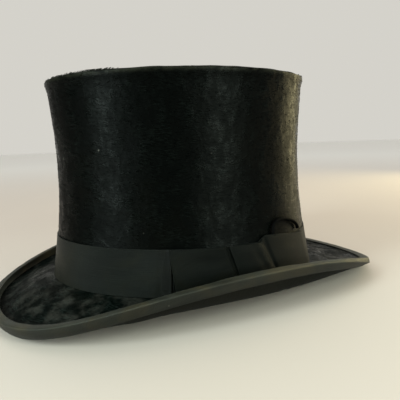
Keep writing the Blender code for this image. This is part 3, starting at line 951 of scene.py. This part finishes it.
def knotColumns(values):
    columns = []
    for i in range(values["knotSteps"] + 1):
        t = i / values["knotSteps"]
        tuck = abs(2 * t - 1) ** 7 * (0.35 if t < 0.5 else 1.0)
        column = []
        for k in range(values["rows"] + 1):
            share = k / values["rows"]
            degrees = slanted(values["knotFront"], share) * (1 - t) + slanted(values["knotBack"], share) * t
            crease = values["knotCrease"] * noise.noise(Vector((t * 4.2, share * 1.1 - t, 8.1)))
            dent = values["knotDent"] * bump(t, 0.84 - 0.25 * share, 0.10)
            drop = values["knotDrop"] * step(share, 0.85, 1.0)
            out = values["knotFull"] - values["knotTuck"] * tuck + crease - dent - drop
            column.append(onBand(degrees, share, out))
        columns.append(column)
    return columns


def makeBow(values):
    columns = loopColumns(values, "frontEnd", "frontRoot", -1, 1.3)
    front = sheetPiece("bow_loop_front", columns, values["thick"])
    finishPiece(front, shadedBowSilk, "band_ribbon", "bow_front_loop")
    columns = loopColumns(values, "rearEnd", "rearRoot", 1, 4.7)
    rear = sheetPiece("bow_loop_rear", columns, values["thick"])
    finishPiece(rear, shadedBowSilk, "band_ribbon", "bow_rear_loop")
    knot = sheetPiece("bow_crossing", knotColumns(values), values["thick"] + values["knotExtra"])
    finishPiece(knot, shadedBowSilk, "band_ribbon", "bow_knot")


makeBow(bow)
print("bow made")


inside = {"levels": 2, "liningOut": -0.00495, "liningThick": 0.0004, "columns": 528, "rows": 18,
          "pleats": 88, "pleatDeep": 0.0006, "liningFlat": (0.137, 0.575), "tipFlat": (0.158, 0.188),
          "tipArea": 0.0233, "leatherFlat": (0.057, 0.560), "leatherLump": (0.00016, 0.012),
          "clear": 0.0005, "shoulder": 0.0022}


def makeLining(values):
    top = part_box("side_lining")[1].z - 0.0004
    columns = []
    for i in range(values["columns"]):
        degrees = 360 * i / values["columns"] - 180
        foot = footAt(degrees) + values["clear"]
        uneven = 0.5 + 0.5 * noise.noise(Vector((degrees * 0.11, 2.0, 0.0)))
        column = []
        for k in range(values["rows"] + 1):
            share = k / values["rows"]
            height = foot + (top - foot) * share
            fold = 0.5 + 0.5 * math.sin(math.radians(degrees) * values["pleats"] + 2.5 * uneven)
            grows = step(share, 0.28, 0.5) * (0.4 + 0.6 * share)
            out = values["liningOut"] - values["pleatDeep"] * fold ** 3 * grows * (0.5 + uneven)
            reach = min(height, sideHigh.z - values["shoulder"])
            column.append(onCrown(degrees, reach, out) + Vector((0, 0, height - reach)))
        columns.append(column)
    piece = sheetPiece("crown_lining", columns, values["liningThick"], closed=True)
    finishPiece(piece, satin, "silk_lining", "side_lining")
    tip = roundOff(copyOfNode("tip_lining", "crown_tip_lining"), values["levels"])
    shadeSmooth(tip)
    finishPiece(tip, satin, "silk_lining", "tip_lining")


def makeSweatband(values):
    piece = roundOff(copyOfNode("sweatband", "leather_band"), values["levels"])
    roughen(piece, *values["leatherLump"], 2.0)
    shadeSmooth(piece)
    finishPiece(piece, leather, "sweatband_leather", "sweatband")
    bead = roundOff(copyOfNode("sweatband_bead", "leather_bead"), values["levels"], 80)
    shadeSmooth(bead, 60)
    finishPiece(bead, leather, "sweatband_leather", "sweatband_bead")


tie = {"columns": 48, "rows": 8, "thick": 0.0005, "waist": 0.32, "wing": 0.62, "inset": 0.98,
       "backset": 0.0005, "ends": 0.0014, "puff": 0.00035, "flat": (0.0101, 0.036), "area": 0.00027}


def makeTie(values):  # the small ribbon bow on the leather at the back
    low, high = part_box("sweatband_tie")
    middle = (low + high) / 2
    columns = []
    for i in range(values["columns"] + 1):
        t = 2 * i / values["columns"] - 1
        wing = math.sin(min(abs(t) * 1.7, 1.0) * math.pi / 2)
        half = (high.z - low.z) / 2 * (values["waist"] + values["wing"] * wing)
        x = middle.x - t * (high.x - low.x) / 2 * values["inset"]
        column = []
        for k in range(values["rows"] + 1):
            s = 2 * k / values["rows"] - 1
            curve = (high.y - low.y - values["ends"]) * t * t
            puff = values["puff"] * math.sin(math.pi * abs(t)) * math.cos(s * 4)
            column.append(Vector((x, high.y - values["backset"] - curve - puff, middle.z + half * s)))
        columns.append(column)
    piece = sheetPiece("leather_tie", columns, values["thick"])
    finishPiece(piece, bandSilk, "tie_ribbon", "sweatband_tie")


makeLining(inside)
makeSweatband(inside)
makeTie(tie)
print("inside made")


stitches = {"binding": 230, "bindingSize": (0.0009, 0.00016, 0.00014), "bindingFrom": 0.085,
            "bindingStep": 0.0006, "bindingTries": 110, "bindingInset": 0.0010,
            "leather": 250, "leatherSize": (0.0011, 0.0002, 0.0002), "leatherRise": 0.0012,
            "zigzag": 0.0007, "slope": 0.75}


def stitchPiece(name, places, material, slot, size):
    # one stitch is shaped once, and its mesh is laid at every place (point, direction, outward)
    bpy.ops.object.select_all(action="DESELECT")
    bpy.ops.mesh.primitive_uv_sphere_add(segments=6, ring_count=4, radius=1.0)
    one = bpy.context.object
    points = [vertex.co.copy() for vertex in one.data.vertices]
    faces = [tuple(face.vertices) for face in one.data.polygons]
    bpy.data.objects.remove(one)
    allPoints, allFaces = [], []
    for point, along, out in places:
        side = along.cross(out).normalized()
        start = len(allPoints)
        for p in points:
            moved = point + along * p.x * size[0] + side * p.y * size[1] + out * p.z * size[2]
            allPoints.append(moved)
        allFaces += [tuple(start + index for index in face) for face in faces]
    piece = scatterPiece(name, allPoints, allFaces)
    shadeSmooth(piece, 80)
    finishPiece(piece, material, slot)


def bindingEdge(tree, away, side, values):  # walks outwards until the ribbon's inner edge is met
    for k in range(values["bindingTries"]):
        start = axisAt(0.1 * side) + away * (values["bindingFrom"] + values["bindingStep"] * k)
        hit = tree.ray_cast(start, Vector((0, 0, -side)))[0]
        if hit is not None:
            return hit + away * values["bindingInset"]
    return None


def bindingStitches(values):
    tree = treeOf(bpy.data.objects["binding"])
    places = []
    for side in (1, -1):
        for i in range(values["binding"]):
            turn = 2 * math.pi * i / values["binding"]
            seam = bindingEdge(tree, ovalTowards(turn), side, values)
            if seam is None:
                continue
            hit, normal, _, _ = tree.ray_cast(seam + Vector((0, 0, 0.02 * side)), Vector((0, 0, -side)))
            if hit is not None:
                along = alongCloth(Vector((-math.sin(turn), math.cos(turn), 0)), normal)
                places.append((hit, along, normal))
    stitchPiece("binding_stitches", places, thread, "binding_ribbon", values["bindingSize"])


def sweatbandStitches(values):
    tree = treeOf(bpy.data.objects["leather_band"])
    places = []
    for i in range(values["leather"]):
        turn = 2 * math.pi * i / values["leather"]
        height = footAt(math.degrees(turn)) + values["leatherRise"] + values["zigzag"] * (i % 2)
        hit, normal, _, _ = tree.ray_cast(axisAt(height), ovalTowards(turn))
        if hit is not None:
            slope = values["slope"] if i % 2 else -values["slope"]
            along = Vector((-math.sin(turn), math.cos(turn), slope)).normalized()
            places.append((hit, alongCloth(along, normal), normal))
    stitchPiece("leather_stitches", places, tanThread, "sweatband_leather", values["leatherSize"])


bindingStitches(stitches)
sweatbandStitches(stitches)
print("stitches made")


pile = {"seed": 11, "side": 15000, "edge": 3200, "tip": 3200, "brim": 5000,
        "length": (0.0022, 0.0048), "edgeLength": (0.0015, 0.0032), "width": 0.00016, "vary": (0.6, 1.2),
        "lift": (0.00002, 0.00012), "edgeLift": (0.0002, 0.0007), "edgeThin": 0.7, "rootDeep": 0.00012,
        "sideTilt": 0.16, "swirl": 0.5, "swirlSize": 0.02, "edgeTilt": (0.1, 0.35), "edgeSlope": (15, 80),
        "tipReach": 0.93, "tipStray": 0.15, "brimReach": (0.088, 0.150), "brimStray": 0.3}


def lockShape(foot, along, out, length, width, lift):  # a closed sliver: two feet and a tip, and a ridge
    side = along.cross(out).normalized() * width
    root = foot - out * pile["rootDeep"]
    ridge = foot + along * length * 0.45 + out * (lift * 0.8 + 0.00008)
    tip = foot + along * length + out * lift
    return (root - side, root + side, ridge, tip), ((0, 1, 2), (1, 3, 2), (3, 0, 2), (0, 3, 1))


def napPiece(name, locks, material):
    points, faces = [], []
    for lock in locks:
        shape, sides = lockShape(*lock)
        start = len(points)
        points += shape
        faces += [tuple(start + index for index in side) for side in sides]
    finishPiece(scatterPiece(name, points, faces), material, "silk_plush")


def lockAt(draw, hit, along, normal, values):  # one lock of hair, of a length and lift drawn by chance
    return (hit, alongCloth(along, normal), normal, draw.uniform(*values["length"]),
            values["width"] * draw.uniform(*values["vary"]), draw.uniform(*values["lift"]))


def strayed(draw, amount):  # a small flat step to either side
    return Vector((draw.gauss(0, amount), draw.gauss(0, amount), 0))


def sideLocks(draw, tree, values):
    for _ in range(values["side"]):
        degrees = draw.uniform(-180, 180)
        height = draw.uniform(footAt(degrees) + bandTall + 0.0005, sideHigh.z - 0.001)
        away = ovalTowards(math.radians(degrees))
        hit, normal, _, _ = tree.ray_cast(axisAt(height) + away * wellOutside, -away)
        tilt = draw.gauss(0, values["sideTilt"]) + values["swirl"] * noise.noise(hit / values["swirlSize"])
        yield lockAt(draw, hit, (upwards.cross(normal) + upwards * tilt).normalized(), normal, values)


def edgeLocks(draw, tree, values):
    for _ in range(values["edge"]):
        away = ovalTowards(math.radians(draw.uniform(-180, 180)))
        rim = axisAt(sideHigh.z - 0.004)
        slope = math.radians(draw.uniform(*values["edgeSlope"]))
        start = rim + away * wellOutside * math.cos(slope) + upwards * wellOutside * math.sin(slope)
        aim = (rim + away * (halfLong - 0.012) - start).normalized()
        hit, normal, _, _ = tree.ray_cast(start, aim)
        if hit is not None:
            along = (upwards.cross(normal) + upwards * draw.gauss(*values["edgeTilt"])).normalized()
            yield (hit, alongCloth(along, normal), normal, draw.uniform(*values["edgeLength"]),
                   values["width"] * values["edgeThin"], draw.uniform(*values["edgeLift"]))


def tipLocks(draw, tree, values):
    for _ in range(values["tip"]):
        turn = math.radians(draw.uniform(-180, 180))
        share = values["tipReach"] * math.sqrt(draw.uniform(0.0, 0.95))
        place = Vector((halfWide * share * math.cos(turn), halfLong * share * math.sin(turn), 0))
        hit, normal, _, _ = tree.ray_cast(axisAt(0.3) + place, -upwards)
        if hit is not None:
            along = Vector((-math.sin(turn), math.cos(turn), 0)) + strayed(draw, values["tipStray"])
            yield lockAt(draw, hit, along, normal, values)


def brimLocks(draw, tree, bindingTree, values):
    for _ in range(values["brim"]):
        away = ovalTowards(math.radians(draw.uniform(-180, 180)))
        place = axisAt(0.3) + away * draw.uniform(*values["brimReach"])
        hit, normal, _, _ = tree.ray_cast(place, -upwards)
        covered = bindingTree.ray_cast(place, -upwards)[0] is not None
        if hit is None or normal.z < 0.1 or covered:
            continue
        along = upwards.cross(away) + strayed(draw, values["brimStray"])
        yield lockAt(draw, hit, along, normal, values)


def makeNap(values):
    draw = random.Random(values["seed"])
    sideTree, tipTree, brimTree, bindingTree = [
        treeOf(bpy.data.objects[name]) for name in ("side_plush", "tip_plush", "brim_plush", "binding")]
    napPiece("side_nap", sideLocks(draw, sideTree, values), sidePlush)
    tipHair = list(edgeLocks(draw, tipTree, values)) + list(tipLocks(draw, tipTree, values))
    napPiece("tip_nap", tipHair, sidePlush)
    napPiece("brim_nap", brimLocks(draw, brimTree, bindingTree, values), sheenPaintedBrimPlush)


makeNap(pile)
print("nap made")


for nodeName in ("crown_side_shell", "crown_tip_board", "brim_collar"):
    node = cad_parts[nodeName]
    node.data.materials.clear()
    node.data.materials.append(shellac)
print("shell and boards finished")


studio = {"floor": (0.560, 0.492, 0.450, 1), "farFloor": (0.97, 0.965, 0.95, 1),
          "air": (1.0, 0.975, 0.90, 1), "airStrength": 0.66,
          "dim": ((226.0, 0.64, 0.93), (-30.0, 0.60, 0.3)),  # angle, where it starts, how much
          "floorWide": 6.0, "floorGap": 0.0002, "fade": (0.3, 2.2), "aimHigh": 0.08}

# angle round the hat in degrees, distance, height, width, height of the panel, watts, colour
lamps = {
    "front panel": (-74.0, 1.00, 0.34, 0.30, 0.80, 15.0, (0.82, 1.0, 0.94)),
    "side panel": (16.0, 1.05, 0.28, 0.28, 0.80, 11.0, (0.84, 1.0, 0.86)),
    "warm panel": (95.0, 0.95, 0.20, 0.50, 0.55, 3.4, (1.0, 0.86, 0.42)),
    "ceiling panel": (150.0, 0.60, 1.20, 1.00, 1.00, 4.0, (1.0, 0.95, 0.90)),
}


def makeFloor(values):
    bpy.ops.object.select_all(action="DESELECT")
    bpy.ops.mesh.primitive_circle_add(vertices=96, radius=values["floorWide"], fill_type="NGON",
                                      location=(0, 0, -values["floorGap"]))
    floor = bpy.context.object
    floor.name = "floor"
    bpy.ops.object.transform_apply(location=True)
    made, tree, shader = newMaterial("pale floor", Roughness=0.75, Specular_IOR_Level=0.2)
    place = objectPlace(tree)
    near = mixed(tree, noiseAt(tree, place, 6.0, 3.0), values["floor"], tinted(values["floor"], 0.96))
    away = remapped(tree, vectorMaths(tree, "LENGTH", place), *values["fade"])  # fades into the backdrop
    tree.links.new(mixed(tree, away, near, values["farFloor"]), shader.inputs["Base Color"])
    floor.data.materials.append(made)


def makeAir(values):  # dimmer on two sides, as in a room with its windows on the others
    air = bpy.data.worlds.new("studio air")
    air.use_nodes = True
    tree = air.node_tree
    looking = addNode(tree, "TexCoord").outputs["Generated"]
    sky = values["air"]
    for degrees, start, share in values["dim"]:
        angle = math.radians(degrees)
        side = vectorMaths(tree, "DOT_PRODUCT", looking, (math.cos(angle), math.sin(angle), 0.0))
        sky = mixed(tree, remapped(tree, side, start, 0.95, 0.0, share), sky, (0.0, 0.0, 0.0, 1))
    tree.links.new(sky, tree.nodes["Background"].inputs["Color"])
    tree.nodes["Background"].inputs["Strength"].default_value = values["airStrength"]
    bpy.context.scene.world = air


def makeLamp(name, turn, far, height, wide, tall, watts, colour, aim):
    light = bpy.data.lights.new(name, "AREA")
    light.shape = "RECTANGLE"
    light.size = wide
    light.size_y = tall
    light.energy = watts
    light.color = colour
    lamp = bpy.data.objects.new(name, light)
    angle = math.radians(turn)
    lamp.location = aim + Vector((math.cos(angle) * far, math.sin(angle) * far, height))
    lamp.rotation_euler = (aim - lamp.location).to_track_quat("-Z", "Y").to_euler()
    bpy.context.scene.collection.objects.link(lamp)


def makeStudio(values):
    makeFloor(values)
    makeAir(values)
    for name, settings in lamps.items():
        makeLamp(name, *settings, axisAt(values["aimHigh"]))
    bpy.context.scene.view_settings.view_transform = "Standard"


makeStudio(studio)
print("studio lit")
